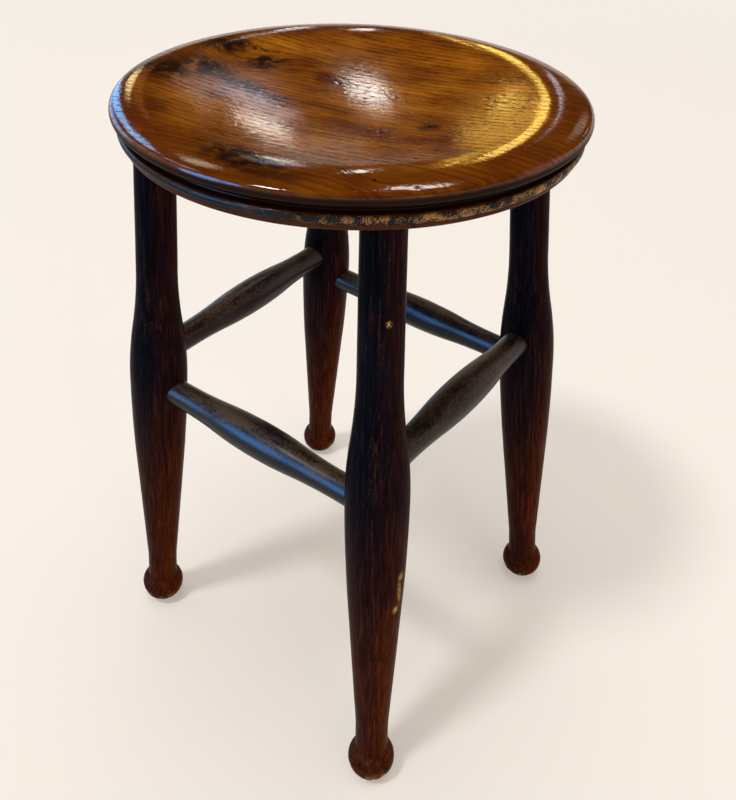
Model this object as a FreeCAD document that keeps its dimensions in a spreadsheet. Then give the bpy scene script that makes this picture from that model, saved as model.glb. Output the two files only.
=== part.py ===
import FreeCAD, Part
import Sketcher
import math
import os
import re

# A round stool: a dished seat with a moulded edge, on four splayed turned legs with ball feet,
# tied by a box of turned stretchers, front and back set lower than the two sides.
# Millimetres, +Z up. The origin is on the floor under the middle of the seat.
# The legs stand on the diagonals: -Y is the front and +X is the right.

# Driving dimensions. Heights of the seat's mouldings are shares of its thickness, from its
# underside up, and heights along a leg are from the end of its foot as it came off the lathe.
SIZES = {
    "seat_height": 547,
    "seat_diameter": 333,
    "seat_thickness": 28,
    "crest_inset": 21.5,
    "crest_run_share": 0.11,
    "dish_depth": 10,
    "nose_height_share": 0.757,
    "nose_round_share": 0.706,
    "arris_setback": 2.7,
    "arris_height_share": 0.593,
    "cove_setback": 8.3,
    "cove_height_share": 0.443,
    "cove_round_share": 0.74,
    "bead_setback": 5.6,
    "bead_low_share": 0.157,
    "bead_high_share": 0.407,
    "bead_round_share": 0.53,
    "lip_setback": 5.8,
    "lip_height_share": 0.132,
    "lip_round": 2.3,
    "leg_seat_inset": 34,
    "leg_splay": 69.5,
    "foot_ball_diameter": 41,
    "foot_trim": 1.8,
    "ankle_diameter": 28.4,
    "ankle_cove": 6,
    "taper_start_height": 66,
    "taper_end_height": 208,
    "belly_diameter": 48,
    "belly_height": 302,
    "neck_diameter": 32,
    "neck_height": 414,
    "leg_top_diameter": 30,
    "leg_tenon_lead": 8,
    "leg_tenon_depth": 20,
    "stretcher_height": 292,
    "stretcher_step": 31,
    "stretcher_end_diameter": 22.5,
    "stretcher_swell_diameter": 30.5,
    "swell_half_length": 80,
    "stretcher_end_setback": 3,
    "socket_clearance": 0.1,
    "socket_end_clearance": 0.5,
    "cut_overrun": 12,
    "front_right_foot_out": 1.9,
    "front_right_foot_side": 2.9,
    "front_right_seat_out": -5.8,
    "front_right_seat_side": 3.1,
    "back_right_foot_out": -0.5,
    "back_right_foot_side": -8.7,
    "back_right_seat_out": 2.2,
    "back_right_seat_side": 2.5,
    "back_left_foot_out": 8.6,
    "back_left_foot_side": 4.6,
    "back_left_seat_out": -2.9,
    "back_left_seat_side": -0.4,
    "front_left_foot_out": -10.7,
    "front_left_foot_side": -6.0,
    "front_left_seat_out": 6.7,
    "front_left_seat_side": 5.1,
}

# Each corner of the stool: how its leg leans out from the middle, along X and along Y.
corner_shares = {
    "front_right": (1, -1),
    "back_right": (1, 1),
    "back_left": (-1, 1),
    "front_left": (-1, -1),
}

# Each stretcher: the two corners that it ties, and the height that it lies at.
STRETCHERS = {
    "front": ("front_left", "front_right", "stretcher_height"),
    "back": ("back_left", "back_right", "stretcher_height"),
    "right": ("front_right", "back_right", "stretcher_height + stretcher_step"),
    "left": ("front_left", "back_left", "stretcher_height + stretcher_step"),
}

doc = FreeCAD.newDocument("stool")
sheet = doc.addObject("Spreadsheet::Sheet", "Sizes")
for row, (name, number) in enumerate(SIZES.items(), start=1):
    sheet.set(f"A{row}", name)
    sheet.set(f"B{row}", str(number))
    sheet.setAlias(f"B{row}", name)
doc.recompute()


def in_sheet(formula):
    """The formula with the sheet's name before each size, as an expression takes it."""
    return re.sub(r"[a-z_]+", lambda word: f"Sizes.{word[0]}" if word[0] in SIZES else word[0], formula)


def measure(formula):
    """The formula's value at the sheet's sizes."""
    return float(sheet.evalExpression(in_sheet(formula)))


# What leads from one corner of an outline to the next: a straight line, or an arc of a given
# radius that bulges out of the wood or hollows into it.
STRAIGHT = None


def bulge(radius):
    return 1, radius


def hollow(radius):
    return -1, radius


def arc_between(start, end, side, radius):
    """The short arc between two points, with its centre to the left (1) or right (-1) of the way."""
    chord = end - start
    left = FreeCAD.Vector(-chord.y, chord.x, 0).normalize()
    rise = math.sqrt(radius**2 - (chord.Length / 2) ** 2)
    centre = (start + end) / 2 + left * (side * rise)
    first, last = (start, end) if side > 0 else (end, start)
    circle = Part.Circle(centre, FreeCAD.Vector(0, 0, 1), radius)
    return Part.ArcOfCircle(
        circle,
        math.atan2(first.y - centre.y, first.x - centre.x),
        math.atan2(last.y - centre.y, last.x - centre.x),
    )


def pin_down(sketch, kind, place, formula):
    """Add one dimension to a sketch and bind it to the sheet."""
    index = sketch.addConstraint(Sketcher.Constraint(kind, *place, measure(formula)))
    sketch.setExpression(f"Constraints[{index}]", in_sheet(formula))


def turned_body(label, outline):
    """A body turned about its own Z axis. The outline's corners run from the lower end of the
    axis to the upper one, each as radius, height and what leads on to the next corner."""
    body = doc.addObject("PartDesign::Body", label)
    body.Label = label
    plane = next(item for item in body.Origin.OriginFeatures if item.Role == "XZ_Plane")
    sketch = body.newObject("Sketcher::SketchObject", f"{label}_outline")
    sketch.AttachmentSupport = [(plane, "")]
    sketch.MapMode = "FlatFace"
    corners = [FreeCAD.Vector(measure(radius), measure(height), 0) for radius, height, lead in outline]
    joins = []
    for index, (radius, height, lead) in enumerate(outline):
        start = corners[index]
        end = corners[(index + 1) % len(corners)]
        if lead is STRAIGHT:
            sketch.addGeometry(Part.LineSegment(start, end))
            joins.append((1, 2))
        else:
            side, bend = lead
            sketch.addGeometry(arc_between(start, end, side, measure(bend)))
            joins.append((1, 2) if side > 0 else (2, 1))
    for index, (first, last) in enumerate(joins):
        follower = (index + 1) % len(joins)
        sketch.addConstraint(Sketcher.Constraint("Coincident", index, last, follower, joins[follower][0]))
    upright_axis = -2
    level_axis = -1
    for index, (radius, height, lead) in enumerate(outline):
        point = joins[index][0]
        if radius == "0":
            sketch.addConstraint(Sketcher.Constraint("PointOnObject", index, point, upright_axis))
        else:
            pin_down(sketch, "DistanceX", (-1, 1, index, point), radius)
        if height == "0":
            sketch.addConstraint(Sketcher.Constraint("PointOnObject", index, point, level_axis))
        else:
            pin_down(sketch, "DistanceY", (-1, 1, index, point), height)
        if lead is not STRAIGHT:
            pin_down(sketch, "Radius", (index,), lead[1])
    turning = body.newObject("PartDesign::Revolution", f"{label}_turning")
    turning.Profile = sketch
    turning.ReferenceAxis = (sketch, ["V_Axis"])
    turning.Angle = 360
    doc.recompute()
    return body


def cut_away(body, kind, name, place, formulas):
    """Take a block or a bore, placed in the stool's frame, out of a body."""
    before = body.Shape.Volume
    cutter = body.newObject(kind, name)
    for size, formula in formulas.items():
        cutter.setExpression(size, in_sheet(formula))
    cutter.Placement = body.Placement.inverse().multiply(place)
    doc.recompute()
    if not 0 < body.Shape.Volume < before:
        raise ValueError(f"{name} cuts nothing from {body.Label}")


def along(point, direction):
    """A placement at a point, with its Z axis along a direction."""
    return FreeCAD.Placement(point, FreeCAD.Rotation(FreeCAD.Vector(0, 0, 1), direction))


def bore(body, name, start, direction, diameter, depth):
    """A round blind bore, with the clearance that every socket has round its tenon."""
    sizes = {"Radius": f"{diameter} / 2 + socket_clearance", "Height": depth}
    cut_away(body, "PartDesign::SubtractiveCylinder", name, along(start, direction), sizes)


def arc_from_upright(across, up):
    """Radius of an arc that starts upright and ends that far across and up."""
    return f"(({across})^2 + ({up})^2) / (2 * ({across}))"


def ogee(across, up):
    """Radius of two equal arcs, a bulge and a hollow, that start and end upright."""
    return f"(({across})^2 + ({up})^2) / (4 * ({across}))"


# Where a leg's axis meets the floor and the seat's underside. Each was bored and set by eye,
# so each stands a little out or in, and a little to one side, of its true place.
def axis_point(corner, distance, side, height):
    along_x, along_y = corner_shares[corner]
    outward = FreeCAD.Vector(along_x, along_y, 0).normalize()
    sideways = FreeCAD.Vector(-along_y, along_x, 0).normalize()
    upward = FreeCAD.Vector(0, 0, measure(height))
    return outward * measure(distance) + sideways * measure(side) + upward


def foot_point(corner):
    distance = f"seat_diameter / 2 - leg_seat_inset + leg_splay + {corner}_foot_out"
    return axis_point(corner, distance, f"{corner}_foot_side", "0")


def seat_point(corner):
    distance = f"seat_diameter / 2 - leg_seat_inset + {corner}_seat_out"
    return axis_point(corner, distance, f"{corner}_seat_side", "seat_height - seat_thickness")


def leg_direction(corner):
    return (seat_point(corner) - foot_point(corner)).normalize()


def point_at_height(corner, height):
    """The point of a leg's axis at a height above the floor."""
    direction = leg_direction(corner)
    return foot_point(corner) + direction * (height / direction.z)


# Seat: one board, turned with a dished top, a rounded nose, and a cove, a bead and a lip under it.
def make_seat():
    crest = "(seat_diameter / 2 - crest_inset)"
    nose_height = "(seat_thickness * nose_height_share)"
    nose_to_crest = f"(seat_thickness - {nose_height})"
    nose_round = f"(nose_round_share * {nose_to_crest})"
    crest_round = (
        f"((crest_inset^2 + {nose_to_crest}^2 - 2 * crest_inset * {nose_round})"
        f" / (2 * ({nose_to_crest} - {nose_round})))"
    )
    nose_share = f"({nose_round} / ({crest_round} - {nose_round}))"
    lip = "(seat_diameter / 2 - lip_setback)"
    bead = "(seat_diameter / 2 - bead_setback)"
    bead_low = "(seat_thickness * bead_low_share)"
    bead_high = "(seat_thickness * bead_high_share)"
    cove_height = "(seat_thickness * cove_height_share)"
    arris_height = "(seat_thickness * arris_height_share)"
    cove_chord = f"sqrt((cove_setback - arris_setback)^2 + ({arris_height} - {cove_height})^2)"
    dish_rounds = f"(({crest}^2 + dish_depth^2) / (2 * dish_depth))"
    outline = [
        ("0", "0", STRAIGHT),
        (f"{lip} - lip_round", "0", bulge("lip_round")),
        (lip, "lip_round", STRAIGHT),
        (lip, "seat_thickness * lip_height_share", STRAIGHT),
        (bead, bead_low, bulge(f"bead_round_share * ({bead_high} - {bead_low})")),
        (bead, bead_high, STRAIGHT),
        ("seat_diameter / 2 - cove_setback", cove_height, hollow(f"cove_round_share * {cove_chord}")),
        (
            "seat_diameter / 2 - arris_setback",
            arris_height,
            bulge(arc_from_upright("arris_setback", f"{nose_height} - {arris_height}")),
        ),
        ("seat_diameter / 2", nose_height, bulge(nose_round)),
        (
            f"seat_diameter / 2 - {nose_round} + {nose_share} * (crest_inset - {nose_round})",
            f"{nose_height} + {nose_share} * ({crest_round} - {nose_to_crest})",
            bulge(crest_round),
        ),
        (crest, "seat_thickness", bulge(f"crest_run_share * {dish_rounds}")),
        (
            f"{crest} * (1 - crest_run_share)",
            "seat_thickness - dish_depth * crest_run_share",
            hollow(f"(1 - crest_run_share) * {dish_rounds}"),
        ),
        ("0", "seat_thickness - dish_depth", STRAIGHT),
    ]
    seat = turned_body("seat", outline)
    seat.Placement.Base.z = measure("seat_height - seat_thickness")
    for corner in corner_shares:
        direction = leg_direction(corner)
        mouth = seat_point(corner) - direction * measure("cut_overrun")
        depth = "cut_overrun + leg_tenon_depth + socket_end_clearance"
        bore(seat, f"{corner}_leg_socket", mouth, direction, "leg_top_diameter", depth)
    return seat


# Leg: one turning from the ball foot to the plain round tenon in the seat, with two blind
# sockets for the stretchers and the foot pared level with the floor.
def make_leg(corner):
    ball = "foot_ball_diameter / 2"
    ankle = "ankle_diameter / 2"
    cove_rise = f"sqrt(({ball} + ankle_cove)^2 - ({ankle} + ankle_cove)^2)"
    ball_share = f"({ball} / ({ball} + ankle_cove))"
    taper = "(taper_end_height - taper_start_height)"
    taper_share = f"({taper} / ({taper} + (belly_height - taper_end_height) / 2))"
    taper_end = f"({ankle} + (belly_diameter - ankle_diameter) / 2 * {taper_share})"
    shoulder = ogee("(belly_diameter - neck_diameter) / 2", "neck_height - belly_height")
    lean_out = f"(leg_splay + {corner}_foot_out - {corner}_seat_out)"
    lean_side = f"({corner}_foot_side - {corner}_seat_side)"
    length = f"sqrt((seat_height - seat_thickness)^2 + {lean_out}^2 + {lean_side}^2)"
    outline = [
        ("0", "0", bulge(ball)),
        (
            f"{ball_share} * ({ankle} + ankle_cove)",
            f"{ball} + {ball_share} * {cove_rise}",
            hollow("ankle_cove"),
        ),
        (ankle, f"{ball} + {cove_rise}", STRAIGHT),
        (ankle, "taper_start_height", STRAIGHT),
        (
            taper_end,
            "taper_end_height",
            bulge(arc_from_upright(f"belly_diameter / 2 - {taper_end}", "belly_height - taper_end_height")),
        ),
        ("belly_diameter / 2", "belly_height", bulge(shoulder)),
        ("(belly_diameter + neck_diameter) / 4", "(belly_height + neck_height) / 2", hollow(shoulder)),
        ("neck_diameter / 2", "neck_height", STRAIGHT),
        ("leg_top_diameter / 2", f"foot_trim + {length} - leg_tenon_lead", STRAIGHT),
        ("leg_top_diameter / 2", f"foot_trim + {length} + leg_tenon_depth", STRAIGHT),
        ("0", f"foot_trim + {length} + leg_tenon_depth", STRAIGHT),
    ]
    leg = turned_body(f"leg_{corner}", outline)
    foot = foot_point(corner)
    leg.Placement = along(foot - leg_direction(corner) * measure("foot_trim"), leg_direction(corner))
    reach = measure("foot_ball_diameter")
    under_floor = FreeCAD.Placement(foot - FreeCAD.Vector(reach, reach, reach), FreeCAD.Rotation())
    block = {
        "Length": "2 * foot_ball_diameter",
        "Width": "2 * foot_ball_diameter",
        "Height": "foot_ball_diameter",
    }
    cut_away(leg, "PartDesign::SubtractiveBox", f"{corner}_foot_level", under_floor, block)
    for side, (start_corner, end_corner, height) in STRETCHERS.items():
        if corner not in (start_corner, end_corner):
            continue
        other = end_corner if corner == start_corner else start_corner
        here = point_at_height(corner, measure(height))
        direction = (point_at_height(other, measure(height)) - here).normalize()
        bottom = here + direction * measure("stretcher_end_setback - socket_end_clearance")
        depth = "belly_diameter / 2 + cut_overrun"
        bore(leg, f"{corner}_{side}_socket", bottom, direction, "stretcher_end_diameter", depth)
    return leg


# Stretcher: a plain round rod, swelled to its middle, whose ends are its tenons.
def make_stretcher(side):
    start_corner, end_corner, height = STRETCHERS[side]
    start = point_at_height(start_corner, measure(height))
    end = point_at_height(end_corner, measure(height))
    setback = measure("stretcher_end_setback")
    length = f"{(end - start).Length} - 2 * stretcher_end_setback"
    middle = f"(({length}) / 2)"
    rod = "stretcher_end_diameter / 2"
    turn_in = "(stretcher_end_diameter + stretcher_swell_diameter) / 4"
    swell = ogee("(stretcher_swell_diameter - stretcher_end_diameter) / 2", "swell_half_length")
    outline = [
        ("0", "0", STRAIGHT),
        (rod, "0", STRAIGHT),
        (rod, f"{middle} - swell_half_length", hollow(swell)),
        (turn_in, f"{middle} - swell_half_length / 2", bulge(swell)),
        (turn_in, f"{middle} + swell_half_length / 2", hollow(swell)),
        (rod, f"{middle} + swell_half_length", STRAIGHT),
        (rod, length, STRAIGHT),
        ("0", length, STRAIGHT),
    ]
    stretcher = turned_body(f"stretcher_{side}", outline)
    direction = (end - start).normalize()
    stretcher.Placement = along(start + direction * setback, direction)
    doc.recompute()
    return stretcher


pieces = [make_seat()]
pieces += [make_leg(corner) for corner in corner_shares]
pieces += [make_stretcher(side) for side in STRETCHERS]
doc.recompute()

for item in doc.Objects:
    if "Invalid" in item.State or "Error" in item.State:
        raise RuntimeError(f"{item.Label} did not build: {item.State}")
for piece in pieces:
    if piece.Shape.isNull() or not piece.Shape.isValid() or len(piece.Shape.Solids) != 1:
        raise RuntimeError(f"{piece.Label} is not one sound solid")

os.makedirs("parts", exist_ok=True)
for piece in pieces:
    piece.Shape.exportStep(f"parts/{piece.Label}.step")
    print(f"{piece.Label}: {piece.Shape.Volume / 1000:.1f} cm3")
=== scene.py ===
import bpy
import math
from mathutils import Matrix, Quaternion, Vector


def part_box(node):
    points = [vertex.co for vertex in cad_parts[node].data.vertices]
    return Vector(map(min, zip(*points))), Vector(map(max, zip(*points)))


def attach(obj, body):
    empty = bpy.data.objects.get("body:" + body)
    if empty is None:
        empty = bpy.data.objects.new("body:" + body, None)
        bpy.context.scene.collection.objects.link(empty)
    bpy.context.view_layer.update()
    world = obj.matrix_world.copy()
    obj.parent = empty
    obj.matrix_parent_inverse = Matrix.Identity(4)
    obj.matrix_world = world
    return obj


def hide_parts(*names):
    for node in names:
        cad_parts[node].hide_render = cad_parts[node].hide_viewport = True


# The looks of a round stool: a dished elm seat with a moulded edge, on four splayed turned legs
# with ball feet, tied by four swelled stretchers. Metres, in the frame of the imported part.

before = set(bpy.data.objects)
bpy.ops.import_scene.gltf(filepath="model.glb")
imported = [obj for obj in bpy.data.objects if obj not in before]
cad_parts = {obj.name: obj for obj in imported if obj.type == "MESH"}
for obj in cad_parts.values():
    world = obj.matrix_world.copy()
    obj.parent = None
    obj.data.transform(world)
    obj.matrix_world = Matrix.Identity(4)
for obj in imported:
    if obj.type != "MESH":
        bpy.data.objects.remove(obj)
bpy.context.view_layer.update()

MM = 0.001

# Seat, from the frame, and its moulded edge. Heights are above its underside.
seat_low, seat_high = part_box("seat")
SEAT_RADIUS = (seat_high.y - seat_low.y) / 2
SEAT_UNDERSIDE = seat_low.z
SEAT_THICKNESS = seat_high.z - seat_low.z
CREST_INSET = 21.5 * MM
CREST_RUN_SHARE = 0.11
DISH_DEPTH = 10 * MM
NOSE_HEIGHT = 21.2 * MM
NOSE_ROUND = 4.8 * MM
ARRIS_SETBACK = 2.7 * MM
ARRIS_HEIGHT = 16.6 * MM
COVE_SETBACK = 8.3 * MM
COVE_HEIGHT = 12.4 * MM
COVE_ROUND = 5.2 * MM
BEAD_SETBACK = 5.6 * MM
BEAD_LOW = 4.4 * MM
BEAD_HIGH = 11.4 * MM
BEAD_ROUND = 3.7 * MM
LIP_SETBACK = 5.8 * MM
LIP_HEIGHT = 3.7 * MM
LIP_ROUND = 2.3 * MM

# Legs. Heights along a leg are from the end of its foot as it came off the lathe.
LEG_SEAT_INSET = 34 * MM
LEG_SPLAY = 69.5 * MM
FOOT_BALL = 20.5 * MM
FOOT_TRIM = 1.8 * MM
ANKLE = 14.2 * MM
ANKLE_COVE = 6 * MM
TAPER_START = 66 * MM
TAPER_END = 208 * MM
BELLY = 24 * MM
BELLY_HEIGHT = 302 * MM
NECK = 16 * MM
NECK_HEIGHT = 414 * MM
LEG_TOP = 15 * MM
TENON_LEAD = 8 * MM
TENON_DEPTH = 20 * MM

# Each corner: how its leg leans out along X and Y, then how far the foot stands out and aside of
# its true place, and the same for the leg's top. A hand-made stool's legs stand a little off true.
CORNERS = {
    "front_right": ((1, -1), (1.9 * MM, 2.9 * MM), (-5.8 * MM, 3.1 * MM)),
    "back_right": ((1, 1), (-0.5 * MM, -8.7 * MM), (2.2 * MM, 2.5 * MM)),
    "back_left": ((-1, 1), (8.6 * MM, 4.6 * MM), (-2.9 * MM, -0.4 * MM)),
    "front_left": ((-1, -1), (-10.7 * MM, -6.0 * MM), (6.7 * MM, 5.1 * MM)),
}

# Stretchers: the corners that each ties, and its height above the floor.
STRETCHER_END = 11.25 * MM
STRETCHER_SWELL = 15.25 * MM
SWELL_HALF = 80 * MM
STRETCHER_SETBACK = 3 * MM
LOW_STRETCHER = 292 * MM
HIGH_STRETCHER = 323 * MM
STRETCHERS = {
    "front": ("front_left", "front_right", LOW_STRETCHER),
    "back": ("back_left", "back_right", LOW_STRETCHER),
    "right": ("front_right", "back_right", HIGH_STRETCHER),
    "left": ("front_left", "back_left", HIGH_STRETCHER),
}

# How finely an outline is drawn: the spacing of its points, and the most that an arc turns between two.
SEAT_SPACING = 1.7 * MM
TURNING_SPACING = 2 * MM
FINEST_TURN = math.radians(7)

# What the lathe is set to for each kind of piece, and the seeds of its wear.
SEAT_TURNING = {
    "Facets": 300,
    "Waver": 0.25 * MM,
    "Waver size": 55 * MM,
    "Dent depth": 0.08 * MM,
    "Dent size": 7 * MM,
    "Chip depth": 0.0,
    "Chip height": 1 * MM,
}
LEG_TURNING = {
    "Facets": 96,
    "Waver": 0.4 * MM,
    "Waver size": 40 * MM,
    "Dent depth": 0.5 * MM,
    "Dent size": 6 * MM,
    "Chip depth": 1.2 * MM,
    "Chip height": 26 * MM,
}
STRETCHER_TURNING = {
    "Facets": 72,
    "Waver": 0.4 * MM,
    "Waver size": 30 * MM,
    "Dent depth": 0.5 * MM,
    "Dent size": 6 * MM,
    "Chip depth": 0.0,
    "Chip height": 1 * MM,
}
SEAT_SEED = 1.0
FIRST_LEG_SEED = 2.0
FIRST_STRETCHER_SEED = 6.0


def linear(colour):
    """An sRGB hex colour as linear red, green, blue and alpha."""
    shares = [int(colour[index : index + 2], 16) / 255 for index in (1, 3, 5)]
    return [s / 12.92 if s <= 0.04045 else ((s + 0.055) / 1.055) ** 2.4 for s in shares] + [1.0]


def add(tree, kind, settings=None, inputs=None):
    """Add a node to a tree with its settings, and give its inputs, by name or number, a value or a
    link. A whole node given as an input links its first output in use."""
    node = tree.nodes.new(kind)
    for name, value in (settings or {}).items():
        if name == "stops":
            ramp = node.color_ramp.elements
            while len(ramp) < len(value):
                ramp.new(1.0)
            for element, (position, colour) in zip(ramp, value):
                element.position = position
                element.color = linear(colour)
        else:
            setattr(node, name, value)
    for key, value in (inputs or {}).items():
        named = [socket for socket in node.inputs if socket.enabled and socket.name == key]
        socket = named[0] if named else node.inputs[key]
        if isinstance(value, bpy.types.Node):
            value = next(output for output in value.outputs if output.enabled)
        if isinstance(value, bpy.types.NodeSocket):
            tree.links.new(value, socket)
        else:
            socket.default_value = value
    return node


# Settings that many nodes share
PLUS = {"operation": "ADD"}
MINUS = {"operation": "SUBTRACT"}
TIMES = {"operation": "MULTIPLY"}
TIMES_UP_TO_ONE = {"operation": "MULTIPLY", "use_clamp": True}
TIMES_PLUS = {"operation": "MULTIPLY_ADD"}
OVER = {"operation": "DIVIDE"}
LARGER = {"operation": "MAXIMUM"}
SCALED = {"operation": "SCALE"}
LENGTH = {"operation": "LENGTH"}
ALONG = {"operation": "DOT_PRODUCT"}
SMOOTH = {"interpolation_type": "SMOOTHSTEP"}
COLOURS = {"data_type": "RGBA"}
BY_SEED = {"noise_dimensions": "4D"}
NUMBER_AT_POINTS = {"data_type": "FLOAT", "domain": "POINT"}
VECTOR_AT_POINTS = {"data_type": "FLOAT_VECTOR", "domain": "POINT"}


def weighed(tree, parts, start=0.0):
    """The sum of a start and of some values, each times its own weight."""
    total = start
    for value, weight in parts:
        total = add(tree, "ShaderNodeMath", TIMES_PLUS, {0: value, 1: weight, 2: total})
    return total


# Outlines


def arc(start, end, bend, spacing):
    """Points after start up to end on the short arc between them. A bend above 0 is the radius of a
    bulge, one below 0 that of a hollow, and 0 is a straight line."""
    start, end = Vector(start), Vector(end)
    chord = end - start
    if bend == 0:
        count = max(1, math.ceil(chord.length / spacing))
        return [start + chord * (step / count) for step in range(1, count + 1)]
    left = Vector((-chord.y, chord.x)).normalized()
    rise = math.sqrt(bend**2 - (chord.length / 2) ** 2)
    centre = (start + end) / 2 + left * math.copysign(rise, bend)
    swing = math.copysign(2 * math.asin(chord.length / 2 / abs(bend)), bend)
    count = max(1, math.ceil(max(abs(bend * swing) / spacing, abs(swing) / FINEST_TURN)))
    spoke = start - centre
    turns = [Matrix.Rotation(swing * step / count, 2) for step in range(1, count + 1)]
    return [centre + turn @ spoke for turn in turns]


def outline_points(corners, spacing):
    """Points of an outline whose corners are radius, height and the bend that leads on."""
    points = [Vector(corners[0][:2])]
    for (radius, height, bend), following in zip(corners, corners[1:]):
        points += arc((radius, height), following[:2], bend, spacing)
    return points


def from_upright(across, up):
    """Radius of an arc that starts upright and ends that far across and up."""
    return (across**2 + up**2) / (2 * across)


def ogee(across, up):
    """Radius of two equal arcs, a bulge and a hollow, that start and end upright."""
    return (across**2 + up**2) / (4 * across)


def seat_outline():
    """From the middle of the underside out to the lip, up the moulded edge and in over the dish."""
    crest = SEAT_RADIUS - CREST_INSET
    rise = SEAT_THICKNESS - NOSE_HEIGHT
    crest_round = (CREST_INSET**2 + rise**2 - 2 * CREST_INSET * NOSE_ROUND) / (2 * (rise - NOSE_ROUND))
    nose_share = NOSE_ROUND / (crest_round - NOSE_ROUND)
    dish_rounds = (crest**2 + DISH_DEPTH**2) / (2 * DISH_DEPTH)
    lip = SEAT_RADIUS - LIP_SETBACK
    bead = SEAT_RADIUS - BEAD_SETBACK
    return [
        (0, 0, 0),
        (lip - LIP_ROUND, 0, LIP_ROUND),
        (lip, LIP_ROUND, 0),
        (lip, LIP_HEIGHT, 0),
        (bead, BEAD_LOW, BEAD_ROUND),
        (bead, BEAD_HIGH, 0),
        (SEAT_RADIUS - COVE_SETBACK, COVE_HEIGHT, -COVE_ROUND),
        (
            SEAT_RADIUS - ARRIS_SETBACK,
            ARRIS_HEIGHT,
            from_upright(ARRIS_SETBACK, NOSE_HEIGHT - ARRIS_HEIGHT),
        ),
        (SEAT_RADIUS, NOSE_HEIGHT, NOSE_ROUND),
        (
            SEAT_RADIUS - NOSE_ROUND + nose_share * (CREST_INSET - NOSE_ROUND),
            NOSE_HEIGHT + nose_share * (crest_round - rise),
            crest_round,
        ),
        (crest, SEAT_THICKNESS, CREST_RUN_SHARE * dish_rounds),
        (
            crest * (1 - CREST_RUN_SHARE),
            SEAT_THICKNESS - DISH_DEPTH * CREST_RUN_SHARE,
            -(1 - CREST_RUN_SHARE) * dish_rounds,
        ),
        (0, SEAT_THICKNESS - DISH_DEPTH, 0),
    ]


def leg_outline(length):
    """From the ball foot up the taper, over the belly and the neck to the end of the tenon."""
    cove_rise = math.sqrt((FOOT_BALL + ANKLE_COVE) ** 2 - (ANKLE + ANKLE_COVE) ** 2)
    ball_share = FOOT_BALL / (FOOT_BALL + ANKLE_COVE)
    taper = TAPER_END - TAPER_START
    taper_share = taper / (taper + (BELLY_HEIGHT - TAPER_END) / 2)
    taper_end = ANKLE + (BELLY - ANKLE) * taper_share
    shoulder = ogee(BELLY - NECK, NECK_HEIGHT - BELLY_HEIGHT)
    top = FOOT_TRIM + length
    return [
        (0, 0, FOOT_BALL),
        (ball_share * (ANKLE + ANKLE_COVE), FOOT_BALL + ball_share * cove_rise, -ANKLE_COVE),
        (ANKLE, FOOT_BALL + cove_rise, 0),
        (ANKLE, TAPER_START, 0),
        (taper_end, TAPER_END, from_upright(BELLY - taper_end, BELLY_HEIGHT - TAPER_END)),
        (BELLY, BELLY_HEIGHT, shoulder),
        ((BELLY + NECK) / 2, (BELLY_HEIGHT + NECK_HEIGHT) / 2, -shoulder),
        (NECK, NECK_HEIGHT, 0),
        (LEG_TOP, top - TENON_LEAD, 0),
        (LEG_TOP, top + TENON_DEPTH, 0),
        (0, top + TENON_DEPTH, 0),
    ]


def stretcher_outline(length):
    """From end to end, plain but for the swell in the middle."""
    middle = length / 2
    swell = ogee(STRETCHER_SWELL - STRETCHER_END, SWELL_HALF)
    turn_in = (STRETCHER_END + STRETCHER_SWELL) / 2
    return [
        (0, 0, 0),
        (STRETCHER_END, 0, 0),
        (STRETCHER_END, middle - SWELL_HALF, -swell),
        (turn_in, middle - SWELL_HALF / 2, swell),
        (turn_in, middle + SWELL_HALF / 2, -swell),
        (STRETCHER_END, middle + SWELL_HALF, 0),
        (STRETCHER_END, length, 0),
        (0, length, 0),
    ]


# Where the legs stand


def axis_point(corner, reach, offset, height):
    """A point of a leg's axis, from how far out it should be and how far off that it is."""
    lean = CORNERS[corner][0]
    outward = Vector((*lean, 0)).normalized()
    sideways = Vector((-lean[1], lean[0], 0)).normalized()
    return outward * (reach + offset[0]) + sideways * offset[1] + Vector((0, 0, height))


def foot_point(corner):
    return axis_point(corner, SEAT_RADIUS - LEG_SEAT_INSET + LEG_SPLAY, CORNERS[corner][1], 0)


def seat_point(corner):
    return axis_point(corner, SEAT_RADIUS - LEG_SEAT_INSET, CORNERS[corner][2], SEAT_UNDERSIDE)


def point_at_height(corner, height):
    """The point of a leg's axis at a height above the floor."""
    return foot_point(corner).lerp(seat_point(corner), height / SEAT_UNDERSIDE)


# The lathe: it turns an outline about its axis, wavers the skin as a hand-turned piece does, dents
# and chips it inwards, sets the piece in its place and levels it on the floor.

WELD_DISTANCE = 0.005 * MM
CHIP_SIZE = 7 * MM
DENT_SPAN = {"From Min": 0.66, "From Max": 0.82}
CHIP_SPAN = {"From Min": 0.5, "From Max": 0.6}


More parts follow.
